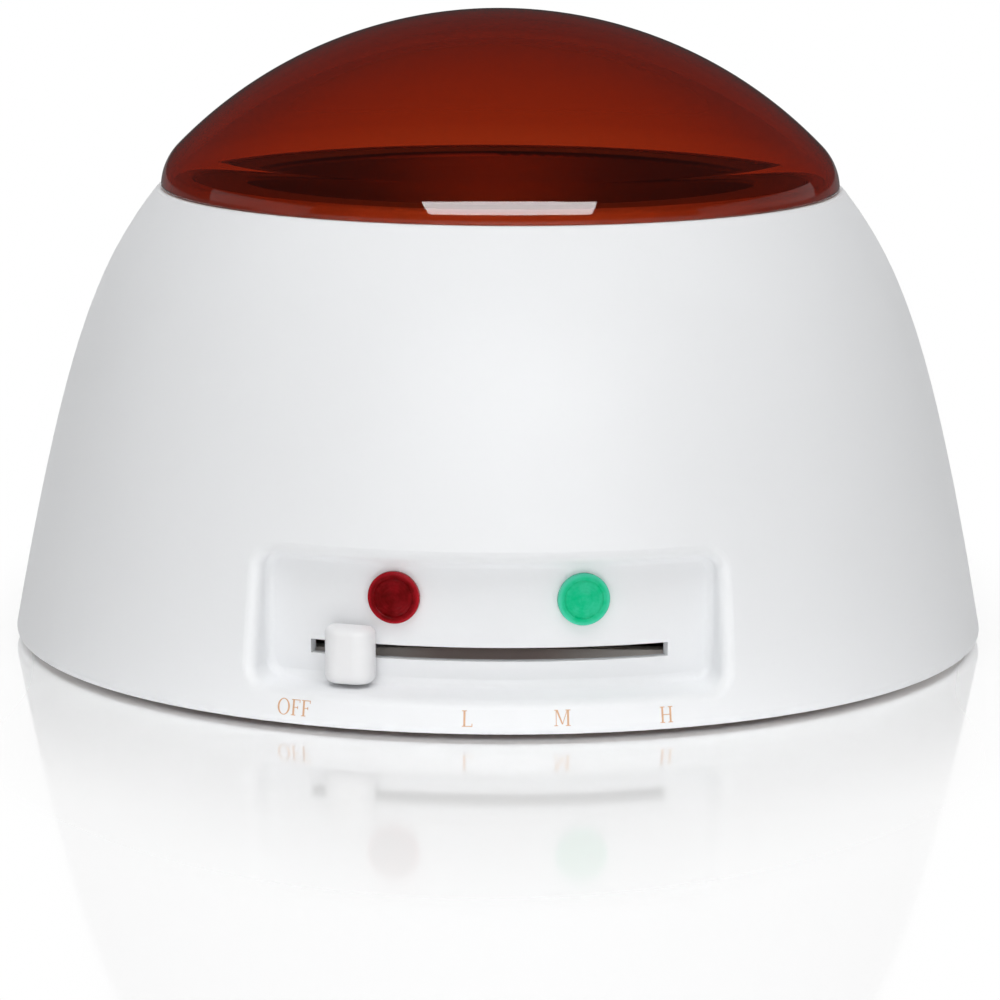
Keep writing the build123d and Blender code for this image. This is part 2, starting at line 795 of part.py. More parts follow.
# ---------------------------------------------------------------- fuse
fuse_level = pot_underside - clip_thickness - fuse_radius - snug
with BuildPart() as thermal_fuse:
    with BuildSketch(facing_plane(fuse_angle, fuse_distance - fuse_length / 2, fuse_level)):
        Circle(fuse_radius)
    extrude(amount=fuse_length)
    fillet(thermal_fuse.edges(), 0.5)
write(thermal_fuse, "thermal_fuse")

with BuildPart() as fuse_clip:
    clip_plane = facing_plane(fuse_angle, fuse_distance - clip_width / 2, fuse_level)
    with BuildSketch(clip_plane):
        Circle(fuse_radius + snug + clip_thickness)
        with Locations((0, (fuse_radius + clip_thickness) / 2)):
            Rectangle(2 * (fuse_radius + snug + clip_thickness), fuse_radius + clip_thickness)
        with Locations((clip_foot / 2, fuse_radius + clip_thickness / 2)):
            Rectangle(clip_foot, clip_thickness)
        Circle(fuse_radius + snug, mode=Mode.SUBTRACT)
    extrude(amount=clip_width)
write(fuse_clip, "fuse_clip")

# ---------------------------------------------------------------- indicator lamps
def lens_profile():
    """Half section of a lens: x runs outward along its axis, y away from its axis."""
    face = lens_thickness
    return [
        (-lens_shank_depth, lens_shank),
        (0, lens_shank),
        (0, lens_radius),
        (face * 0.6, lens_radius),
        (face, lens_radius - lens_bevel),
        (face, lens_radius - lens_bevel - lens_rim),
        (face - lens_dish, lens_radius - lens_bevel - lens_rim - lens_dish),
        (face - lens_dish, 0),
        (-lens_front_wall + face, 0),
        (-lens_front_wall + face, lens_shank - lens_wall),
        (-lens_shank_depth, lens_shank - lens_wall),
    ]


for name, angle in lamp_places.items():
    out = polar(1, angle, 0)
    centre = polar(panel_radius, angle, lamp_level)
    along = Plane(origin=centre, x_dir=out, z_dir=(out[1], -out[0], 0))
    with BuildPart() as lens:
        with BuildSketch(along):
            with BuildLine():
                Polyline(*lens_profile(), close=True)
            make_face()
        revolve(axis=Axis(centre, out))
    write(lens, f"{name}_lens")

    bulb_tip = panel_radius + lens_thickness - lens_front_wall - bulb_front_gap
    with BuildPart() as lamp:
        with BuildSketch(facing_plane(angle, bulb_tip, lamp_level)):
            Circle(bulb_radius)
        extrude(amount=-(bulb_tip - board_distance))
        fillet(lamp.edges().sort_by(Axis((0, 0, 0), out))[-1], bulb_radius * 0.8)
        with BuildSketch(Plane.XZ.offset(board_front)):
            with Locations((0, lamp_level)):
                Rectangle(2 * board_width, 2 * board_height)
        extrude(amount=-board_front, mode=Mode.SUBTRACT)
    write(lamp, f"{name}_lamp")

with BuildPart() as lamp_board:
    with BuildSketch(Plane.XZ.offset(board_distance)):
        with Locations((0, lamp_level)):
            RectangleRounded(board_width, board_height, board_corner)
            with Locations((board_screw_places[0], 0), (board_screw_places[1], 0)):
                Circle(small_screw_radius + 2 * screw_slack, mode=Mode.SUBTRACT)
    extrude(amount=board_thickness)
write(lamp_board, "lamp_board")

with BuildPart() as board_screws:
    for place in board_screw_places:
        seat = Plane(origin=(place, -board_distance, lamp_level), z_dir=(0, 1, 0))
        add(screw(seat, small_screw_radius, small_screw_head, small_screw_head_height,
                  board_thickness + board_screw_depth - 0.5))
write(board_screws, "board_screws")

with BuildPart() as lamp_resistors:
    for place in lamp_places.values():
        with BuildSketch(Plane.YZ.offset(place - resistor_length / 2)):
            with Locations((-board_distance + resistor_radius, lamp_level)):
                Circle(resistor_radius)
        extrude(amount=resistor_length)
write(lamp_resistors, "lamp_resistors")

# ---------------------------------------------------------------- bottom cover
cover_radius = side_radius(cover_top, housing_wall) - cover_gap
rib_top = stem_bottom - rib_gap
with BuildPart() as bottom_cover:
    with BuildSketch(Plane.XY.offset(cover_bottom)):
        Circle(cover_radius)
    extrude(amount=cover_thickness)
    for angle in boss_angles:
        with BuildSketch(lying_plane(angle, boss_distance, cover_top)):
            Circle(boss_radius + pad_margin)
        extrude(amount=pad_height)
    # low ring that stiffens the cover, and the rib under the control arm
    rim_outer = vent_distance - vent_length / 2 - cover_rim_gap
    add(ring(rim_outer - cover_rim_width, rim_outer, cover_top, cover_top + cover_rim))
    with BuildSketch(Plane.XY.offset(cover_top)):
        with Locations((0, -rib_distance)):
            Rectangle(rib_length, rib_width)
    extrude(amount=rib_top - cover_top)
    # saddle for the cord clamp
    with BuildSketch(Plane.XY.offset(cover_top)):
        with Locations((0, clamp_distance)):
            Rectangle(clamp_width, clamp_depth)
    extrude(amount=inlet_level - clamp_gap / 2 - cover_top)
    # seat for the terminal block
    with BuildSketch(lying_plane(block_angle, block_distance, cover_top)):
        Rectangle(block_length + 2 * pad_margin, block_depth + 2 * pad_margin)
    extrude(amount=pad_height)
    # cuts: vents, feet, screws, cord
    with BuildSketch(Plane.XY.offset(cover_bottom)):
        with PolarLocations(vent_distance, vent_count):
            SlotOverall(vent_length, vent_width)
    extrude(amount=cover_thickness, mode=Mode.SUBTRACT)
    for angle in foot_angles:
        with BuildSketch(lying_plane(angle, foot_distance, cover_bottom)):
            Circle(foot_radius + cover_gap)
        extrude(amount=foot_seat, mode=Mode.SUBTRACT)
        with BuildSketch(lying_plane(angle, foot_distance, cover_bottom)):
            Circle(foot_plug_radius + snug)
        extrude(amount=cover_thickness, mode=Mode.SUBTRACT)
    for angle in boss_angles:
        with BuildSketch(lying_plane(angle, boss_distance, cover_bottom)):
            Circle(screw_head_radius + cover_gap)
        extrude(amount=cover_thickness, mode=Mode.SUBTRACT)
        with BuildSketch(lying_plane(angle, boss_distance, cover_bottom)):
            Circle(screw_radius + 2 * screw_slack)
        extrude(amount=cover_thickness + pad_height, mode=Mode.SUBTRACT)
    with BuildSketch(Plane.XZ.offset(-clamp_distance - clamp_depth)):
        with Locations((0, inlet_level)):
            Circle(gland_bore)
    extrude(amount=2 * clamp_depth, mode=Mode.SUBTRACT)
    for place in clamp_screw_places:
        with BuildSketch(Plane.XY.offset(inlet_level)):
            with Locations((place, clamp_distance)):
                Circle(small_screw_radius + screw_slack)
        extrude(amount=-board_screw_depth, mode=Mode.SUBTRACT)
    for place in block_screw_places:
        with BuildSketch(lying_plane(block_angle, block_distance, block_bottom)):
            with Locations((place, 0)):
                Circle(small_screw_radius + screw_slack)
        extrude(amount=-pad_height - cover_thickness / 2, mode=Mode.SUBTRACT)
write(bottom_cover, "bottom_cover")

with BuildPart() as cover_screws:
    for angle in boss_angles:
        seat = polar(boss_distance, angle, cover_top)
        add(screw(Plane(origin=seat, z_dir=(0, 0, -1)), screw_radius, screw_head_radius,
                  screw_head_height, screw_length + pad_height - 0.5))
write(cover_screws, "cover_screws")

with BuildPart() as feet:
    for angle in foot_angles:
        with BuildSketch(lying_plane(angle, foot_distance, 0)):
            Circle(foot_radius)
        extrude(amount=cover_bottom + foot_seat)
        with BuildSketch(lying_plane(angle, foot_distance, 0)):
            Circle(foot_plug_radius)
        extrude(amount=cover_top + 1)
    bottom_edges = feet.edges().group_by(Axis.Z)[0]
    fillet(bottom_edges, 0.4)
write(feet, "feet")

# ---------------------------------------------------------------- cord inlet and clamp
with BuildPart() as cord_gland:
    with BuildSketch(Plane.XZ.offset(-inlet_distance)):
        with Locations((0, inlet_level)):
            Circle(gland_flange)
    extrude(amount=-gland_flange_thickness)
    fillet(cord_gland.edges().sort_by(Axis.Y)[-1], 0.8)
    with BuildSketch(Plane.XZ.offset(-gland_end)):
        with Locations((0, inlet_level)):
            Circle(gland_radius)
    extrude(amount=-(inlet_distance - gland_end))
    with BuildSketch(Plane.XZ.offset(-inlet_inner + snug)):
        with Locations((0, inlet_level)):
            Circle(gland_flange - 0.8)
    extrude(amount=gland_flange_thickness)
    with BuildSketch(Plane.XZ.offset(-gland_end)):
        with Locations((0, inlet_level)):
            Circle(gland_bore)
    extrude(amount=-base_radius, mode=Mode.SUBTRACT)
write(cord_gland, "cord_gland")

with BuildPart() as cord_clamp:
    with BuildSketch(Plane.XY.offset(inlet_level + clamp_gap / 2)):
        with Locations((0, clamp_distance)):
            RectangleRounded(clamp_width, clamp_depth, board_corner)
            with Locations((clamp_screw_places[0], 0), (clamp_screw_places[1], 0)):
                Circle(small_screw_radius + 2 * screw_slack, mode=Mode.SUBTRACT)
    extrude(amount=clamp_thickness)
    with BuildSketch(Plane.XZ.offset(-clamp_distance - clamp_depth)):
        with Locations((0, inlet_level)):
            Circle(gland_bore)
    extrude(amount=2 * clamp_depth, mode=Mode.SUBTRACT)
write(cord_clamp, "cord_clamp")

with BuildPart() as clamp_screws:
    for place in clamp_screw_places:
        seat = Plane.XY.offset(inlet_level + clamp_gap / 2 + clamp_thickness)
        seat = Plane(origin=(place, clamp_distance, seat.origin.Z), z_dir=(0, 0, 1))
        add(screw(seat, small_screw_radius, small_screw_head, small_screw_head_height,
                  clamp_thickness + board_screw_depth - 1))
write(clamp_screws, "clamp_screws")

# ---------------------------------------------------------------- terminal block
block_top = block_bottom + block_height
pole_pitch = block_length / (block_poles + 1.5)
pole_places = [(i - (block_poles - 1) / 2) * pole_pitch for i in range(block_poles)]
with BuildPart() as terminal_block:
    with BuildSketch(lying_plane(block_angle, block_distance, block_bottom)):
        RectangleRounded(block_length, block_depth, block_corner)
    extrude(amount=block_height)
    with BuildSketch(lying_plane(block_angle, block_distance, block_top)):
        for place in block_screw_places:
            with Locations((place, 0)):
                Rectangle(block_ear, block_depth)
    extrude(amount=-block_height + block_ear_height, mode=Mode.SUBTRACT)
    with BuildSketch(lying_plane(block_angle, block_distance, block_top)):
        for place in pole_places:
            with Locations((place, -block_depth / 4), (place, block_depth / 4)):
                Circle(terminal_radius + snug)
    extrude(amount=-block_height / 2, mode=Mode.SUBTRACT)
    with BuildSketch(lying_plane(block_angle, block_distance, block_bottom)):
        for place in block_screw_places:
            with Locations((place, 0)):
                Circle(small_screw_radius + 2 * screw_slack)
    extrude(amount=block_ear_height, mode=Mode.SUBTRACT)
write(terminal_block, "terminal_block")

with BuildPart() as block_screws:
    for place in block_screw_places:
        ear = lying_plane(block_angle, block_distance, block_bottom + block_ear_height)
        seat = Plane(origin=ear.from_local_coords((place, 0, 0)), z_dir=(0, 0, 1))
        add(screw(seat, small_screw_radius, small_screw_head, small_screw_head_height,
                  block_ear_height + pad_height + 0.5))
write(block_screws, "block_screws")

terminal_head = block_top - terminal_screw_sink
terminal_bottom = block_top - block_height / 2 + screw_slack
with BuildPart() as terminal_screws:
    for place in pole_places:
        for row in (-block_depth / 4, block_depth / 4):
            with BuildSketch(lying_plane(block_angle, block_distance, terminal_bottom)):
                with Locations((place, row)):
                    Circle(terminal_radius)
            extrude(amount=terminal_head - terminal_bottom)
            with BuildSketch(lying_plane(block_angle, block_distance, terminal_head)):
                with Locations((place, row)):
                    Rectangle(2 * terminal_radius, terminal_slot)
            extrude(amount=-terminal_slot, mode=Mode.SUBTRACT)
write(terminal_screws, "terminal_screws")

# ---------------------------------------------------------------- wires
def wire(points):
    """A round wire along straight runs joined by arcs as large as the runs allow."""
    runs = [Vector(*b) - Vector(*a) for a, b in zip(points, points[1:])]
    radii = []
    for before, after in zip(runs, runs[1:]):
        turn = radians(before.get_angle(after))
        radii.append(0.45 * min(before.length, after.length) / tan(turn / 2))
    with BuildPart() as made:
        with BuildLine() as path:
            FilletPolyline(*points, radius=radii)
        with BuildSketch(Plane(origin=path.line @ 0, z_dir=path.line % 0)):
            Circle(wire_radius)
        sweep(path=path.line)
    return made.part


def entry(place, row, height):
    """A point above a pole of the terminal block: row 1 faces the pot, row -1 the wall."""
    plane = lying_plane(block_angle, block_distance, block_top + height)
    return tuple(plane.from_local_coords((place, row * block_depth / 4, 0)))


def bends(places, start_level):
    """The bend points of a lead, from their distances outside the wire ring."""
    return [polar(wire_ring + out, angle, start_level + rise) for out, angle, rise in places]


tab_end = heater_outer + snug + tab_reach
heater_lead_poles = [pole_places[-1], pole_places[-2]]
heater_lead_drops = [wire_drop, wire_drop + 2 * wire_spacing]
with BuildPart() as heater_leads:
    for i, side in enumerate((1, -1)):
        angle = side * (back_angle - tab_angle)
        add(wire([
            polar(tab_end, angle, tab_level),
            polar(tab_end + heater_lead_exit, angle, tab_level),
            *bends(heater_lead_bends[i], tab_level),
            entry(heater_lead_poles[i], 1, heater_lead_drops[i]),
            entry(heater_lead_poles[i], 1, 0),
        ]))
write(heater_leads, "heater_leads")

lead_level = lamp_level - board_height / 2 + 2 * wire_radius
lead_start = board_screw_places[1] - 2 * wire_spacing
with BuildPart() as lamp_leads:
    for i, row in enumerate((-1, 1)):
        start = lead_start - i * wire_spacing
        add(wire([
            (start, -board_distance, lead_level),
            (start, -board_distance + lamp_lead_exits[i], lead_level),
            *bends(lamp_lead_bends[i], lead_level),
            entry(pole_places[0], row, wire_drop),
            entry(pole_places[0], row, 0),
        ]))
write(lamp_leads, "lamp_leads")
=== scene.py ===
"""Looks of the wax warmer: camera, light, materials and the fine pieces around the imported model."""

import json
import math

import bmesh
import bpy
from mathutils import Matrix, Vector
from mathutils.bvhtree import BVHTree


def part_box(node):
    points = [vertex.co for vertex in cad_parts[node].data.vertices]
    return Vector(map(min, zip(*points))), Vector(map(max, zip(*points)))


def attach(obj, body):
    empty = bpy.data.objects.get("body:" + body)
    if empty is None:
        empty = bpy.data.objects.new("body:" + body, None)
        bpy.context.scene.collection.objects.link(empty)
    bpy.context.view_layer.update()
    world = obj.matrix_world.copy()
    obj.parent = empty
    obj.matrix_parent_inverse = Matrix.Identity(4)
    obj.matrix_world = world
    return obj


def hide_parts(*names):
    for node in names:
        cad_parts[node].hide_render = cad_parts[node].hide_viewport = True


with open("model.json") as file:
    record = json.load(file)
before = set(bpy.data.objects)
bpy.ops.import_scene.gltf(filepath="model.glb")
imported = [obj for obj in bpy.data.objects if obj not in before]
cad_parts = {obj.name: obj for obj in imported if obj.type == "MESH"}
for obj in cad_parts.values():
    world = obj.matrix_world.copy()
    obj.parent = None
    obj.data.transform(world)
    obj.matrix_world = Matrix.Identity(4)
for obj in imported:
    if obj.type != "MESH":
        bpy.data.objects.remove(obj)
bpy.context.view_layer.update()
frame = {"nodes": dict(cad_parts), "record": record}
nodes = frame["nodes"]

MM = 0.001

# ---------------------------------------------------------------- camera
IMAGE_SIZE = 1000  # pixels, square
FOCAL_PIXELS = 4172.5
SENSOR_WIDTH = 36.0
CAMERA_DISTANCE = 857.55 * MM  # level distance from the axis
CAMERA_HEIGHT = 187.76 * MM
CAMERA_AZIMUTH = math.radians(1.15)
CAMERA_PITCH = math.radians(10.614)
CAMERA_ROLL = math.radians(0.305)
CAMERA_CLIP = 10 * MM
AXIS_PIXEL_SHIFT = 1.3  # the axis stands this far left of the picture's middle


def make_camera():
    """The photograph's camera, which looks a little down and is rolled a little."""
    data = bpy.data.cameras.new("camera")
    data.sensor_width = SENSOR_WIDTH
    data.lens = FOCAL_PIXELS / IMAGE_SIZE * SENSOR_WIDTH
    data.clip_start = CAMERA_CLIP
    camera = bpy.data.objects.new("camera", data)
    yaw = CAMERA_AZIMUTH - AXIS_PIXEL_SHIFT / FOCAL_PIXELS
    place = Vector((CAMERA_DISTANCE * math.sin(CAMERA_AZIMUTH),
                    -CAMERA_DISTANCE * math.cos(CAMERA_AZIMUTH), CAMERA_HEIGHT))
    turn = (Matrix.Rotation(yaw, 4, "Z")
            @ Matrix.Rotation(math.radians(90) - CAMERA_PITCH, 4, "X")
            @ Matrix.Rotation(CAMERA_ROLL, 4, "Z"))
    camera.matrix_world = Matrix.Translation(place) @ turn
    bpy.context.scene.collection.objects.link(camera)
    bpy.context.scene.camera = camera


make_camera()
bpy.context.scene.view_settings.view_transform = "Standard"


# ---------------------------------------------------------------- node helpers
class Tree:
    """A material's node tree with short ways to add and join nodes."""

    def __init__(self, name):
        self.material = bpy.data.materials.new(name)
        self.material.use_nodes = True
        self.tree = self.material.node_tree
        self.shader = self.tree.nodes["Principled BSDF"]
        self.output = self.tree.nodes["Material Output"]
        self._place = None
        self._parts = None

    def node(self, kind, **values):
        made = self.tree.nodes.new(kind)
        for key, value in values.items():
            setattr(made, key, value)
        return made

    def link(self, start, end):
        self.tree.links.new(start, end)

    def place(self):
        """Coordinates in metres, fixed to the piece."""
        if self._place is None:
            self._place = self.node("ShaderNodeTexCoord").outputs["Object"]
        return self._place

    def along(self, axis):
        """One of those coordinates, by its letter."""
        if self._parts is None:
            parts = self.node("ShaderNodeSeparateXYZ")
            self.link(self.place(), parts.inputs[0])
            self._parts = parts.outputs
        return self._parts[axis]

    def radius(self, stretch=1.0):
        """Distance from the upright axis, in metres, with X multiplied first."""
        x = self.math("MULTIPLY", self.along("X"), stretch)
        y = self.along("Y")
        return self.math("SQRT", self.math("ADD", self.math("MULTIPLY", x, x), self.math("MULTIPLY", y, y)))

    def noise(self, scale, detail=3.0, roughness=0.55, coords=None, stretch=None):
        made = self.node("ShaderNodeTexNoise")
        made.inputs["Scale"].default_value = scale
        made.inputs["Detail"].default_value = detail
        made.inputs["Roughness"].default_value = roughness
        source = coords or self.place()
        if stretch:
            mapping = self.node("ShaderNodeMapping")
            mapping.inputs["Scale"].default_value = stretch
            self.link(source, mapping.inputs["Vector"])
            source = mapping.outputs[0]
        self.link(source, made.inputs["Vector"])
        return made.outputs["Fac"]

    def math(self, operation, a, b=None):
        made = self.node("ShaderNodeMath", operation=operation)
        for socket, value in zip(made.inputs, (a, b)):
            if value is None:
                continue
            if isinstance(value, (int, float)):
                socket.default_value = value
            else:
                self.link(value, socket)
        return made.outputs[0]

    def remap(self, value, low, high, to_low, to_high, smooth=False):
        made = self.node("ShaderNodeMapRange")
        if smooth:
            made.interpolation_type = "SMOOTHSTEP"
        self.link(value, made.inputs["Value"])
        made.inputs["From Min"].default_value = low
        made.inputs["From Max"].default_value = high
        made.inputs["To Min"].default_value = to_low
        made.inputs["To Max"].default_value = to_high
        return made.outputs[0]

    def blend(self, factor, first, second):
        """Colour mix; each end is a colour or a socket."""
        made = self.node("ShaderNodeMix", data_type="RGBA")
        self.link(factor, made.inputs["Factor"])
        for socket, value in ((made.inputs["A"], first), (made.inputs["B"], second)):
            if isinstance(value, tuple):
                socket.default_value = (*value, 1)
            else:
                self.link(value, socket)
        return made.outputs["Result"]

    def bump(self, height, distance):
        made = self.node("ShaderNodeBump")
        made.inputs["Distance"].default_value = distance
        made.inputs["Strength"].default_value = 1.0
        self.link(height, made.inputs["Height"])
        return made.outputs[0]

    def vector(self, x, y, z):
        made = self.node("ShaderNodeCombineXYZ")
        for socket, value in zip(made.inputs, (x, y, z)):
            if isinstance(value, (int, float)):
                socket.default_value = value
            else:
                self.link(value, socket)
        return made.outputs[0]

    def set(self, **values):
        for key, value in values.items():
            socket = self.shader.inputs[key.replace("_", " ")]
            if isinstance(value, tuple) and len(value) == 3:
                value = (*value, 1)
            if isinstance(value, (int, float, tuple)):
                socket.default_value = value
            else:
                self.link(value, socket)


def dress(piece, material):
    piece.data.materials.clear()
    piece.data.materials.append(material)


def scaled(colour, factor):
    return tuple(channel * factor for channel in colour)


# ---------------------------------------------------------------- world, floor and lamps
WORLD_DIFFUSE = 0.13
WORLD_DIM = 0.05  # what gloss sees above the horizon, glass sees overhead, and the lid mirrors
# Upward part of the direction: white below the first value, and dim above the second.
GLOSS_HORIZON = (0.34, 0.50)
GLASS_HORIZON = (0.20, 0.55)
FLOOR_SIZE = 12.0
FLOOR_NEAR = 0.115  # from the axis; the floor's own shading fades out to plain white beyond this
FLOOR_FAR = 0.22
FLOOR_SIDE_STRETCH = 1.8  # the fade comes this much sooner to the sides
MIRROR_NEAR = 0.100  # the floor's mirror image fades between these distances from the axis
MIRROR_FAR = 0.165
MIRROR_STRONG = 0.55
MIRROR_WEAK = 0.12
MIRROR_ROUGHNESS = 0.07
FLOOR_WHITE = (0.93, 0.93, 0.93)
FLOOR_FRONT = 0.65  # how bright the lid mirrors the white floor in front of the object
FLOOR_FRONT_TO = -0.45  # from this y back to the axis, what the lid mirrors of it falls to WORLD_DIM
LAMP_DISTANCE = 1.6
LAMP_AIM = Vector((0, 0, 60 * MM))


def make_world():
    """White where the camera looks, and round the horizon for gloss and through glass."""
    world = bpy.data.worlds.new("world")
    bpy.context.scene.world = world
    world.use_nodes = True
    tree = world.node_tree
    back = tree.nodes["Background"]
    back.inputs["Color"].default_value = (1, 1, 1, 1)
    path = tree.nodes.new("ShaderNodeLightPath")
    coords = tree.nodes.new("ShaderNodeTexCoord")
    split = tree.nodes.new("ShaderNodeSeparateXYZ")
    tree.links.new(coords.outputs["Generated"], split.inputs[0])

    def overhead(start, end):
        """White up to the start, and dim from the end on."""
        made = tree.nodes.new("ShaderNodeMapRange")
        made.interpolation_type = "SMOOTHSTEP"
        tree.links.new(split.outputs[2], made.inputs["Value"])
        ends = {"From Min": start, "From Max": end, "To Min": 1.0, "To Max": WORLD_DIM}
        for name, number in ends.items():
            made.inputs[name].default_value = number
        return made.outputs[0]

    def choose(factor, otherwise, chosen):
        made = tree.nodes.new("ShaderNodeMix")
        tree.links.new(factor, made.inputs["Factor"])
        for socket, value in ((made.inputs["A"], otherwise), (made.inputs["B"], chosen)):
            if isinstance(value, float):
                socket.default_value = value
            else:
                tree.links.new(value, socket)
        return made.outputs["Result"]

    level = choose(path.outputs["Is Glossy Ray"], WORLD_DIFFUSE, overhead(*GLOSS_HORIZON))
    level = choose(path.outputs["Is Singular Ray"], level, WORLD_DIM)
    level = choose(path.outputs["Is Transmission Ray"], level, overhead(*GLASS_HORIZON))
    level = choose(path.outputs["Is Camera Ray"], level, 1.0)
    tree.links.new(level, back.inputs["Strength"])


def floor_material():
    """White: close to the object it takes shadows and mirrors, and further off it shines evenly."""
    made = Tree("floor_white")
    made.set(Base_Color=FLOOR_WHITE, Roughness=1.0, Specular_IOR_Level=0.0)
    white = made.node("ShaderNodeEmission")
    path = made.node("ShaderNodeLightPath")
    seen = made.math("MAXIMUM", path.outputs["Is Camera Ray"],
                     made.math("MAXIMUM", path.outputs["Is Glossy Ray"],
                               path.outputs["Is Transmission Ray"]))
    mirrored = made.math("MULTIPLY", path.outputs["Is Singular Ray"],
                         made.math("SUBTRACT", 1.0, path.outputs["Is Transmission Ray"]))
    loss = made.remap(made.along("Y"), FLOOR_FRONT_TO, 0.0, 1 - FLOOR_FRONT, 1 - WORLD_DIM, smooth=True)
    made.link(made.math("SUBTRACT", 1.0, made.math("MULTIPLY", mirrored, loss)),
              white.inputs["Strength"])
    far = made.remap(made.radius(FLOOR_SIDE_STRETCH), FLOOR_NEAR, FLOOR_FAR, 0.0, 1.0, smooth=True)
    plain = made.node("ShaderNodeMixShader")
    made.link(made.math("MULTIPLY", seen, far), plain.inputs[0])
    made.link(made.shader.outputs[0], plain.inputs[1])
    made.link(white.outputs[0], plain.inputs[2])
    mirror = made.node("ShaderNodeBsdfGlossy")
    mirror.inputs["Roughness"].default_value = MIRROR_ROUGHNESS
    mirror.inputs["Color"].default_value = (1, 1, 1, 1)
    share = made.remap(made.radius(), MIRROR_NEAR, MIRROR_FAR, MIRROR_STRONG, MIRROR_WEAK, smooth=True)
    mix = made.node("ShaderNodeMixShader")
    made.link(share, mix.inputs[0])
    made.link(plain.outputs[0], mix.inputs[1])
    made.link(mirror.outputs[0], mix.inputs[2])
    made.link(mix.outputs[0], made.output.inputs["Surface"])
    return made.material


def make_floor():
    mesh = bpy.data.meshes.new("floor")
    half = FLOOR_SIZE / 2
    mesh.from_pydata([(-half, -half, 0), (half, -half, 0), (half, half, 0), (-half, half, 0)],
                     [], [(0, 1, 2, 3)])
    floor = bpy.data.objects.new("floor", mesh)
    bpy.context.scene.collection.objects.link(floor)
    dress(floor, floor_material())


def area_lamp(name, azimuth, elevation, width, height, power, distance=LAMP_DISTANCE, gloss=True,
              diffuse=True):
    """A soft lamp that faces the object; angles in degrees, and azimuth counts from the front."""
    data = bpy.data.lights.new(name, "AREA")
    data.shape = "RECTANGLE"
    data.size = width
    data.size_y = height
    data.energy = power
    lamp = bpy.data.objects.new(name, data)
    a, e = math.radians(azimuth), math.radians(elevation)
    place = LAMP_AIM + distance * Vector((math.sin(a) * math.cos(e), -math.cos(a) * math.cos(e),
                                          math.sin(e)))
    lamp.location = place
    lamp.rotation_euler = (LAMP_AIM - place).to_track_quat("-Z", "Y").to_euler()
    lamp.visible_glossy = gloss
    lamp.visible_diffuse = diffuse
    lamp.visible_camera = False
    lamp.visible_transmission = False
    bpy.context.scene.collection.objects.link(lamp)


make_world()
make_floor()
area_lamp("overhead", azimuth=0, elevation=90, width=1.6, height=1.6, power=9.9, gloss=False)
area_lamp("top_fill", azimuth=0, elevation=62, width=1.6, height=0.9, power=10.5, distance=1.5, gloss=False)
area_lamp("front_fill", azimuth=4, elevation=18, width=1.9, height=0.8, power=5.8, gloss=False)
area_lamp("front_softbox", azimuth=4.5, elevation=26, width=1.57, height=0.68, power=42, diffuse=False)
area_lamp("left_strip", azimuth=-87, elevation=7, width=1.40, height=0.36, power=0.6, diffuse=False)
area_lamp("right_strip", azimuth=100, elevation=7, width=1.90, height=0.36, power=0.7, diffuse=False)


# ---------------------------------------------------------------- materials
SOFT = (0.3, 0.7)  # the part of a noise's values that is spread over a change
CRISP = (0.35, 0.65)  # the same for a change with clearer edges


def plastic(name, colour, roughness, grain=0.000004, grain_scale=1500.0, specular=0.5):
    """Moulded plastic: faint mottling, a fine moulded grain and uneven gloss."""
    mottle = 0.012
    made = Tree(name)
    cloud = made.noise(30.0, detail=2.0)
    made.set(Base_Color=made.blend(cloud, scaled(colour, 1 - mottle), scaled(colour, 1 + mottle)))
    made.set(Roughness=made.remap(made.noise(90.0), *SOFT, roughness * 0.92, roughness * 1.08))
    made.set(Normal=made.bump(made.noise(grain_scale, detail=1.0), grain))
    made.set(Specular_IOR_Level=specular)
    return made


def cover_plastic(name, colour, painted_end_light, roughness):
    """Fine textured plastic; the rib behind the slot is painted paler towards its ends, as painted light
    for the light that reaches the slot's ends.
    """
    made = plastic(name, colour, roughness, grain=0.00002, grain_scale=1800.0)
    body = made.shader.inputs["Base Color"].links[0].from_socket
    # painted light: the rib's colour turns paler towards its ends
    end_light_share = made.remap(made.math("ABSOLUTE", made.along("X")), RIB_LIGHT_PAINT_FROM, RIB_LIGHT_PAINT_TO, 0.0, 1.0,
                       smooth=True)
    on_rib = made.math("GREATER_THAN", made.along("Z"), RIB_FOOT)
    made.set(Base_Color=made.blend(made.math("MULTIPLY", end_light_share, on_rib), body, painted_end_light))
    return made


def clear_plastic(name, colour, wall=None, roughness=0.02, wobble=0.00001):
    """See-through plastic that also lets the lamps through; colour is what one wall lets pass.

    With a wall thickness, the colour comes from the depth of plastic that the light crosses.
    """
    made = Tree(name)
    made.set(Base_Color=(1, 1, 1) if wall else colour, Roughness=roughness, IOR=1.49,
             Transmission_Weight=1.0)
    made.set(Normal=made.bump(made.noise(24.0, detail=2.0), wobble))
    through = made.node("ShaderNodeBsdfTransparent")
    if wall:
        loss = [-math.log(channel) / wall for channel in colour]
        absorb = made.node("ShaderNodeVolumeAbsorption")
        absorb.inputs["Density"].default_value = max(loss)
        absorb.inputs["Color"].default_value = (*[1 - each / max(loss) for each in loss], 1)
        made.link(absorb.outputs[0], made.output.inputs["Volume"])
    else:
        each_face = [channel ** 0.5 for channel in colour]  # a wall has two of them
        through.inputs["Color"].default_value = (*each_face, 1)
    path = made.node("ShaderNodeLightPath")
    mix = made.node("ShaderNodeMixShader")
    made.link(path.outputs["Is Shadow Ray"], mix.inputs[0])
    made.link(made.shader.outputs[0], mix.inputs[1])
    made.link(through.outputs[0], mix.inputs[2])
    made.link(mix.outputs[0], made.output.inputs["Surface"])
    return made


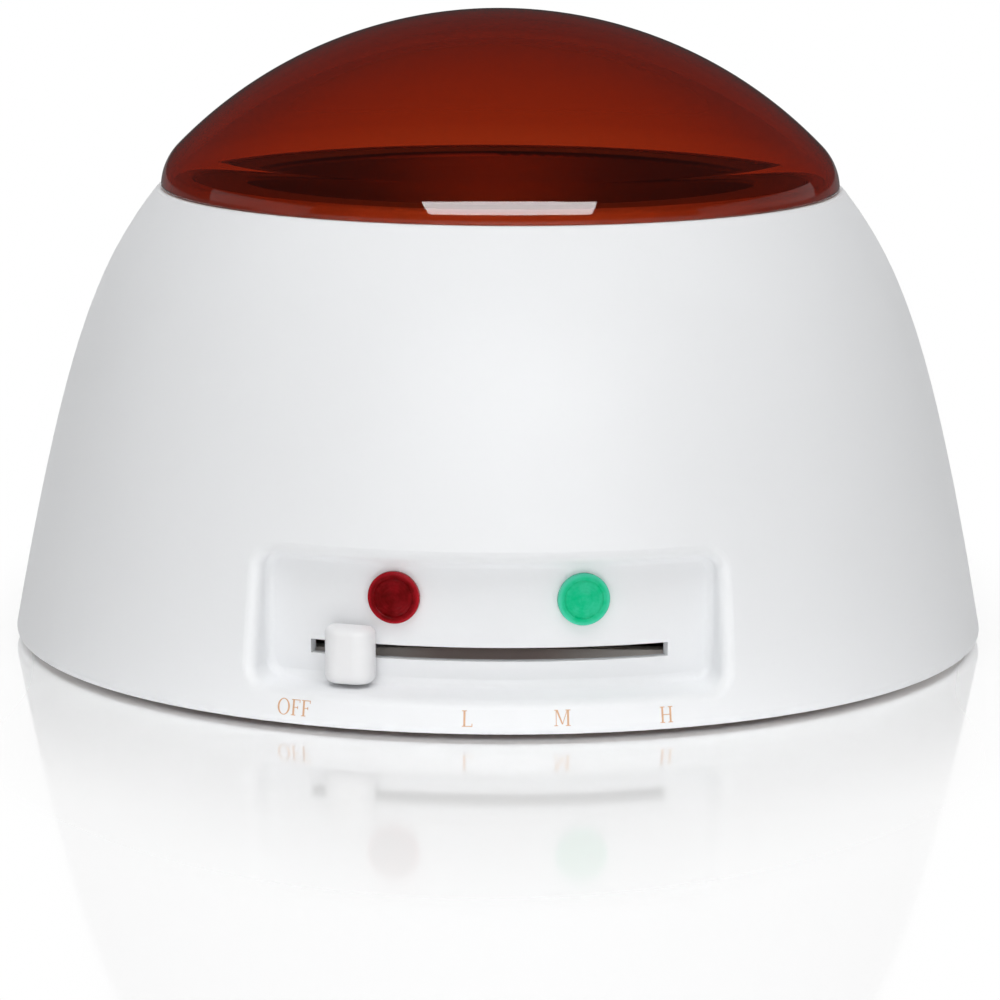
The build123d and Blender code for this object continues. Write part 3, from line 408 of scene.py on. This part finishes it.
def spun_metal(name, colour, roughness):
    """Spun sheet: fine rings round the upright axis, in the gloss and in the surface."""
    flat_rings, wall_rings = 2600.0, 1400.0  # per metre
    made = Tree(name)
    rings = made.noise(1.0, detail=2.0, coords=made.vector(
        made.math("MULTIPLY", made.radius(), flat_rings),
        made.math("MULTIPLY", made.along("Z"), wall_rings), 0.0))
    stain = made.noise(45.0, detail=3.0)
    made.set(Base_Color=made.blend(stain, scaled(colour, 0.90), colour), Metallic=1.0)
    made.set(Roughness=made.remap(rings, *SOFT, roughness * 0.8, roughness * 1.25))
    made.set(Normal=made.bump(rings, 0.000012))
    return made


def sheet_metal(name, colour, roughness, stretch=(1.0, 1.0, 1.0), spangle=120.0):
    """Plated sheet or bar: spangle in the colour, fine drawn lines in the gloss."""
    made = Tree(name)
    cells = made.node("ShaderNodeTexVoronoi")
    cells.inputs["Scale"].default_value = spangle
    made.link(made.place(), cells.inputs["Vector"])
    made.set(Base_Color=made.blend(cells.outputs["Distance"], scaled(colour, 0.88), colour), Metallic=1.0)
    lines = made.noise(900.0, detail=3.0, stretch=stretch)
    made.set(Roughness=made.remap(lines, *SOFT, roughness * 0.8, roughness * 1.25))
    made.set(Normal=made.bump(lines, 0.000008))
    return made


def fibre(name, colour, dark, scale, stretch, height):
    """Matted or laid fibres, darker in between."""
    made = Tree(name)
    strands = made.noise(scale, detail=6.0, roughness=0.7, stretch=stretch)
    made.set(Base_Color=made.blend(made.remap(strands, *CRISP, 0.0, 1.0), dark, colour))
    made.set(Roughness=0.9, Sheen_Weight=0.2)
    made.set(Normal=made.bump(strands, height))
    return made


def rubber(name, colour, roughness):
    """Rubber or soft plastic with a trace of dust."""
    made = Tree(name)
    dust = made.noise(140.0, detail=4.0)
    dusty = tuple(channel * 0.8 + 0.03 for channel in colour)
    made.set(Base_Color=made.blend(made.remap(dust, 0.45, 0.75, 0.0, 1.0), colour, dusty))
    made.set(Roughness=made.remap(dust, *SOFT, roughness * 0.85, roughness * 1.15))
    made.set(Normal=made.bump(made.noise(1800.0, detail=2.0), 0.00001))
    return made


def lens_plastic(name, deep, bright):
    """Tinted lens plastic: deep in the middle, with a painted highlight that makes its rim brighter, and
    faint clouds.
    """
    made = Tree(name)
    cloud = made.noise(500.0, detail=3.0)
    middle = made.blend(made.remap(cloud, *CRISP, 0.0, 0.35), deep, bright)
    # painted highlight: the colour brightens towards the lens's rim
    rim_light_paint = made.remap(made.radius(), LENS_DISH_RADIUS, LENS_RADIUS, 0.0, 1.0, smooth=True)
    made.set(Base_Color=made.blend(rim_light_paint, middle, bright))
    made.set(Roughness=made.remap(cloud, *SOFT, 0.06, 0.10), Specular_IOR_Level=0.03, IOR=1.5)
    return made


def ink(name, colour):
    """Printed ink, a little uneven."""
    made = Tree(name)
    blots = made.noise(2600.0, detail=3.0)
    made.set(Base_Color=made.blend(made.remap(blots, *CRISP, 0.0, 1.0), scaled(colour, 0.94),
                                   scaled(colour, 1.06)))
    made.set(Roughness=0.45, Specular_IOR_Level=0.2)
    return made


def mica(name):
    """Mica wrap with the heating foil's lines showing through."""
    dark, light, foil = (0.36, 0.27, 0.17), (0.52, 0.42, 0.29), (0.20, 0.15, 0.11)
    made = Tree(name)
    wave = made.node("ShaderNodeTexWave", wave_type="BANDS", bands_direction="Z")
    wave.inputs["Scale"].default_value = 55.0
    wave.inputs["Distortion"].default_value = 0.4
    made.link(made.place(), wave.inputs["Vector"])
    flakes = made.noise(220.0, detail=4.0)
    lines = made.remap(wave.outputs["Fac"], 0.82, 0.95, 0.0, 0.5)
    made.set(Base_Color=made.blend(lines, made.blend(flakes, dark, light), foil))
    made.set(Roughness=made.remap(flakes, *SOFT, 0.35, 0.6), Normal=made.bump(flakes, 0.00003))
    return made


def printed_board(name):
    """Phenolic board: paper fibres under a brown resin."""
    dark, light = (0.42, 0.27, 0.12), (0.58, 0.40, 0.20)
    made = Tree(name)
    fibres = made.noise(500.0, detail=5.0, stretch=(1.0, 1.0, 0.25))
    made.set(Base_Color=made.blend(fibres, dark, light))
    made.set(Roughness=0.45, Normal=made.bump(fibres, 0.00001))
    return made


def banded_resistor(name):
    """Lacquered bodies, one on each side of the middle, with two colour bands each."""
    body_place = 11.4 * MM  # of a body's middle, from the board's
    band_place, band_half_width = 1.4 * MM, 0.4 * MM  # from the body's middle
    dark, light, band_colour = (0.62, 0.48, 0.30), (0.74, 0.60, 0.40), (0.22, 0.05, 0.03)
    made = Tree(name)

    def off(value, middle):
        return made.math("ABSOLUTE", made.math("SUBTRACT", value, middle))

    from_body = off(made.math("ABSOLUTE", made.along("X")), body_place)
    band = made.math("LESS_THAN", off(from_body, band_place), band_half_width)
    base = made.blend(made.noise(300.0), dark, light)
    made.set(Base_Color=made.blend(band, base, band_colour), Roughness=0.35)
    return made


WHITE = (0.86, 0.87, 0.885)
KNOB_WHITE = (0.84, 0.84, 0.85)
AMBER = (0.55, 0.17, 0.07)
LID_WALL = 2.0 * MM
LENS_RADIUS = 5.0 * MM
LENS_DISH_RADIUS = 4.0 * MM
COVER = (0.66, 0.53, 0.49)
# paler colour painted on the rib's ends: painted light, not a colour of the plastic
COVER_PAINTED_LIGHT = (0.92, 0.86, 0.80)
RIB_FOOT = 8.0 * MM  # all of the cover above this height is the rib behind the slot
RIB_LIGHT_PAINT_FROM = 8.0 * MM
RIB_LIGHT_PAINT_TO = 22.0 * MM
finishes = {
    "lid_amber": clear_plastic("lid_amber", AMBER, wall=LID_WALL, roughness=0.0, wobble=0.000003),
    "housing_white": plastic("housing_white", WHITE, roughness=0.42, specular=0.12),
    "knob_white": plastic("knob_white", KNOB_WHITE, roughness=0.40, specular=0.2),
    "cover_taupe": cover_plastic("cover_taupe", COVER, COVER_PAINTED_LIGHT, roughness=0.55),
    # the pot's dark grey is painted shade for the dim inside under the lid, darker than bare aluminium
    "pot_aluminium": spun_metal("pot_aluminium", (0.36, 0.36, 0.37), roughness=0.45),
    "silicone": rubber("silicone", (0.55, 0.10, 0.05), roughness=0.5),
    "plated_steel": sheet_metal("plated_steel", (0.62, 0.62, 0.63), roughness=0.35,
                                stretch=(1.0, 0.08, 1.0)),
    "screw_steel": sheet_metal("screw_steel", (0.55, 0.55, 0.56), roughness=0.30, spangle=900.0),
    "heater_mica": mica("heater_mica"),
    "insulation_wool": fibre("insulation_wool", (0.80, 0.77, 0.70), dark=(0.52, 0.48, 0.40),
                             scale=350.0, stretch=(1.0, 1.0, 0.3), height=0.0003),
    "thermostat_ceramic": plastic("thermostat_ceramic", (0.78, 0.74, 0.66), roughness=0.7,
                                  grain=0.00002),
    "brass_parts": sheet_metal("brass_parts", (0.74, 0.52, 0.22), roughness=0.25, spangle=600.0),
    "lens_red": lens_plastic("lens_red", deep=(0.10, 0.0008, 0.0006), bright=(0.40, 0.010, 0.018)),
    "lens_green": lens_plastic("lens_green", deep=(0.002, 0.52, 0.23), bright=(0.09, 0.66, 0.44)),
    "lamp_glass": clear_plastic("lamp_glass", (0.92, 0.88, 0.84), wobble=0.00003),
    "board_brown": printed_board("board_brown"),
    "resistor_tan": banded_resistor("resistor_tan"),
    "fuse_case": sheet_metal("fuse_case", (0.60, 0.60, 0.60), roughness=0.28, spangle=700.0),
    "terminal_nylon": plastic("terminal_nylon", (0.80, 0.78, 0.70), roughness=0.45),
    "feet_rubber": rubber("feet_rubber", (0.045, 0.045, 0.045), roughness=0.6),
    "gland_white": rubber("gland_white", (0.74, 0.74, 0.73), roughness=0.5),
    "lead_glassfibre": fibre("lead_glassfibre", (0.80, 0.77, 0.66), dark=(0.45, 0.42, 0.34),
                             scale=900.0, stretch=(1.0, 1.0, 1.0), height=0.00008),
    "lead_black": rubber("lead_black", (0.03, 0.03, 0.032), roughness=0.45),
}
for part in frame["record"]["subparts"]:
    dress(nodes[part["node"]], finishes[part["material_slot"]].material)


# ---------------------------------------------------------------- lenses
LENS_ANGLES = {"red_lens": -11.4, "green_lens": 11.4}  # degrees from the front
PANEL_RADIUS = 90.0 * MM  # of the recess's floor
LENS_FACE = 1.3 * MM  # from the recess's floor out to the lens's rim
LENS_SHANK_DEPTH = 5.0 * MM
LENS_SHANK_RADIUS = 3.9 * MM
LENS_WALL = 0.8 * MM
LENS_EDGE_ROUND = 0.45 * MM
LENS_DISH = 0.35 * MM
LENS_CROWN = 0.20 * MM  # how far the dish's middle rises again
RIPPLE_HEIGHT = 0.022 * MM
RIPPLE_PITCH = 0.62 * MM
LENS_SEGMENTS = 72
LENS_EDGE_STEPS = 6
LENS_DISH_STEPS = 5
LENS_RINGS = 48  # from the dish's edge to its middle
MERGE_DISTANCE = 0.001 * MM


def arc(centre, radius, start, end, count):
    """Points of an arc in the half section; angles in degrees."""
    angles = [math.radians(start + (end - start) * i / count) for i in range(count + 1)]
    return [(centre[0] + radius * math.cos(a), centre[1] + radius * math.sin(a)) for a in angles]


def lens_section():
    """Half section: distance from the lens's axis, and height out from the recess's floor."""
    inner = LENS_SHANK_RADIUS - LENS_WALL
    edge = (LENS_RADIUS - LENS_EDGE_ROUND, LENS_FACE - LENS_EDGE_ROUND)
    dish_floor = LENS_FACE - LENS_DISH
    points = [(inner, -LENS_SHANK_DEPTH), (LENS_SHANK_RADIUS, -LENS_SHANK_DEPTH),
              (LENS_SHANK_RADIUS, 0.0), (LENS_RADIUS, 0.0)]
    points += arc(edge, LENS_EDGE_ROUND, 0, 90, LENS_EDGE_STEPS)
    points += arc((LENS_DISH_RADIUS, dish_floor), LENS_DISH, 90, 180, LENS_DISH_STEPS)
    for i in range(LENS_RINGS + 1):
        distance = (LENS_DISH_RADIUS - LENS_DISH) * (1 - i / LENS_RINGS)
        crown = LENS_CROWN * (1 - (distance / LENS_DISH_RADIUS) ** 2)
        wave = RIPPLE_HEIGHT * math.sin(2 * math.pi * distance / RIPPLE_PITCH)
        points.append((distance, dish_floor + crown + wave))
    return points


def turned(name, section, segments):
    """A piece made by turning a half section about its z axis."""
    mesh = bmesh.new()
    corners = [mesh.verts.new((distance, 0, height)) for distance, height in section]
    edges = [mesh.edges.new(pair) for pair in zip(corners, corners[1:])]
    bmesh.ops.spin(mesh, geom=corners + edges, cent=(0, 0, 0), axis=(0, 0, 1),
                   angle=2 * math.pi, steps=segments, use_merge=True)
    bmesh.ops.remove_doubles(mesh, verts=mesh.verts, dist=MERGE_DISTANCE)
    bmesh.ops.recalc_face_normals(mesh, faces=mesh.faces)
    for face in mesh.faces:
        face.smooth = True
    data = bpy.data.meshes.new(name)
    mesh.to_mesh(data)
    mesh.free()
    made = bpy.data.objects.new(name, data)
    bpy.context.scene.collection.objects.link(made)
    return made


def stand_in(piece, body, node):
    """Puts a piece in the place of a packed one, on the same body and in the same material."""
    slot = next(part["material_slot"] for part in frame["record"]["subparts"] if part["node"] == node)
    dress(piece, finishes[slot].material)
    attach(piece, body)
    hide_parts(node)


def make_lens(node):
    """Round lens with a rim, and fine rings in its dish."""
    low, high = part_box(node)
    angle = math.radians(LENS_ANGLES[node])
    out = Vector((math.sin(angle), -math.cos(angle), 0))
    foot = out * PANEL_RADIUS + Vector((0, 0, (low[2] + high[2]) / 2))
    lens = turned(f"{node}_rings", lens_section(), LENS_SEGMENTS)
    lens.matrix_world = Matrix.Translation(foot) @ out.to_track_quat("Z", "Y").to_matrix().to_4x4()
    stand_in(lens, "base", node)


for node in LENS_ANGLES:
    make_lens(node)


# ---------------------------------------------------------------- lid
LID_EDGE_ROUND = 12.0 * MM  # outside; the wall is equally thick everywhere
LID_RIM_ROUND = 0.6 * MM
LID_SEGMENTS = 192
LID_EDGE_RINGS = 22
LID_CROWN_RINGS = 44
LID_RIM_RINGS = 8
LID_GRADE = 1.6  # how quickly the rings close up towards the seam of crown and edge


def lid_section():
    """Half section of the dome, with its rings closest where the crown meets the rounded edge."""
    low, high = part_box("lid")
    foot, top = low[2], high[2]
    inner_edge = LID_EDGE_ROUND - LID_WALL
    outer_rim = math.asin(LID_RIM_ROUND / (LID_EDGE_ROUND - LID_RIM_ROUND))
    inner_rim = math.asin(LID_RIM_ROUND / (inner_edge + LID_RIM_ROUND))
    outer_reach = (LID_EDGE_ROUND - LID_RIM_ROUND) * math.cos(outer_rim)
    inner_reach = (inner_edge + LID_RIM_ROUND) * math.cos(inner_rim)
    middle = high[0] - LID_RIM_ROUND - outer_reach  # distance of the edge round's centre
    rise = top - foot
    crown = (middle ** 2 + rise ** 2 - LID_EDGE_ROUND ** 2) / (2 * (rise - LID_EDGE_ROUND))
    centre = top - crown
    seam = math.atan2(foot - centre, middle)

    def wall(edge_radius, crown_radius, rim_light_paint):
        """From the rim up to the top, on one side of the wall."""
        points = []
        for i in range(LID_EDGE_RINGS + 1):
            turn = seam - (seam - rim_light_paint) * (1 - i / LID_EDGE_RINGS) ** LID_GRADE
            points.append((middle + edge_radius * math.cos(turn), foot + edge_radius * math.sin(turn)))
        for i in range(1, LID_CROWN_RINGS):
            turn = seam + (math.pi / 2 - seam) * (i / LID_CROWN_RINGS) ** LID_GRADE
            points.append((crown_radius * math.cos(turn), centre + crown_radius * math.sin(turn)))
        return points + [(0.0, centre + crown_radius)]

    level = foot + LID_RIM_ROUND
    outer_corner = (middle + outer_reach, level)
    inner_corner = (middle + inner_reach, level)
    points = wall(LID_EDGE_ROUND, crown, outer_rim)[::-1]
    points += arc(outer_corner, LID_RIM_ROUND, math.degrees(outer_rim), -90, LID_RIM_RINGS)[1:]
    points += arc(inner_corner, LID_RIM_ROUND, 270, 180 + math.degrees(inner_rim), LID_RIM_RINGS)[:-1]
    points += wall(inner_edge, crown - LID_WALL, inner_rim)
    return points


stand_in(turned("lid_dome", lid_section(), LID_SEGMENTS), "lid", "lid")


# ---------------------------------------------------------------- printed letters
LETTER_HEIGHT = 3.0 * MM
LETTER_LIFT = 0.04 * MM  # the print stands this far off the housing
LETTER_CELL = 0.5 * MM  # the print is cut this fine, so that it follows the housing
STEM = 0.13  # in letter heights, as all of the strokes below are
HAIR = 0.05
SERIF = 0.09  # how far a foot stands out past its stem
TIP = 0.14  # how far the end of an arm is turned up
LETTER_GAP = 0.10
# Each word, its angle from the front in degrees, and its foot's height in mm.
LABELS = [("OFF", -21.4, 2.95), ("L", -2.1, 2.75), ("M", 8.1, 2.85), ("H", 19.6, 2.55)]
INK = (0.70, 0.43, 0.26)


def bar(left, low, right, high):
    return [(left, low), (right, low), (right, high), (left, high)]


def footed_stem(left, width=STEM):
    """An upright with a foot at both ends."""
    right = left + width
    return [bar(left, 0, right, 1), bar(left - SERIF, 0, right + SERIF, HAIR),
            bar(left - SERIF, 1 - HAIR, right + SERIF, 1)]


def letter_f():
    arm = 0.60
    middle = 0.48
    return footed_stem(SERIF) + [
        bar(SERIF, 1 - HAIR, arm, 1), bar(arm - HAIR, 1 - HAIR - TIP, arm, 1),
        bar(SERIF, middle, arm - TIP, middle + HAIR),
        bar(arm - TIP - HAIR, middle - TIP / 2, arm - TIP, middle + HAIR + TIP / 2)], arm


def letter_l():
    arm = 0.66
    return footed_stem(SERIF) + [bar(SERIF, 0, arm, HAIR), bar(arm - HAIR, 0, arm, HAIR + TIP)], arm


def letter_h():
    far = 0.62
    middle = 0.48
    return (footed_stem(SERIF) + footed_stem(far) + [bar(SERIF, middle, far, middle + HAIR)],
            far + STEM + SERIF)


def letter_m():
    far = 0.80
    valley = 0.10
    centre = (SERIF + far + STEM) / 2
    thick = [(SERIF, 1), (SERIF + STEM, 1), (centre + STEM / 3, valley), (centre - STEM / 3, valley)]
    thin = [(far, 1), (far + HAIR, 1), (centre + HAIR / 2, valley), (centre - HAIR / 2, valley)]
    return footed_stem(SERIF, HAIR) + footed_stem(far) + [thick, thin], far + STEM + SERIF


def letter_o():
    """A ring, thicker at its sides."""
    width, half_height, sides = 0.86, 0.52, 28

    def oval(inset_x, inset_y):
        turns = [2 * math.pi * i / sides for i in range(sides + 1)]
        return [(width / 2 + (width / 2 - inset_x) * math.cos(turn),
                 0.5 + (half_height - inset_y) * math.sin(turn)) for turn in turns]

    outer, inner = oval(0, 0), oval(STEM, HAIR)
    return [[outer[i], outer[i + 1], inner[i + 1], inner[i]] for i in range(sides)], width


LETTERS = {"O": letter_o, "F": letter_f, "L": letter_l, "M": letter_m, "H": letter_h}


def make_label(word, angle, foot):
    """Prints a word on the housing at an angle from the front and a height."""
    mesh = bmesh.new()
    along = 0.0
    for character in word:
        strokes, width = LETTERS[character]()
        for stroke in strokes:
            mesh.faces.new([mesh.verts.new((along + x, y, 0)) for x, y in stroke])
        along += width + LETTER_GAP
    width = along - LETTER_GAP
    for axis, reach in (((1, 0, 0), width), ((0, 1, 0), 1.0)):
        cuts = int(reach * LETTER_HEIGHT / LETTER_CELL)
        for i in range(1, cuts + 1):
            cell = LETTER_CELL / LETTER_HEIGHT * i
            bmesh.ops.bisect_plane(mesh, geom=mesh.verts[:] + mesh.edges[:] + mesh.faces[:],
                                   plane_co=Vector(axis) * cell, plane_no=axis)
    for vert in mesh.verts:
        shift = (vert.co.x - width / 2) * LETTER_HEIGHT
        level = foot * MM + vert.co.y * LETTER_HEIGHT
        turn = math.radians(angle) + shift / BASE_RADIUS
        out = Vector((math.sin(turn), -math.cos(turn), 0))
        start = out * 2 * BASE_RADIUS + Vector((0, 0, level))
        hit, normal = housing_surface.ray_cast(start, -out)[:2]
        vert.co = hit + normal * LETTER_LIFT
    data = bpy.data.meshes.new(f"print_{word}")
    mesh.to_mesh(data)
    mesh.free()
    label = bpy.data.objects.new(f"print_{word}", data)
    bpy.context.scene.collection.objects.link(label)
    dress(label, letter_ink)
    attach(label, "base")


BASE_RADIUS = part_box("housing")[1][0]
housing_mesh = nodes["housing"].data
housing_surface = BVHTree.FromPolygons([vert.co for vert in housing_mesh.vertices],
                                       [face.vertices for face in housing_mesh.polygons])
letter_ink = ink("print_tan", INK).material
for word, angle, foot in LABELS:
    make_label(word, angle, foot)
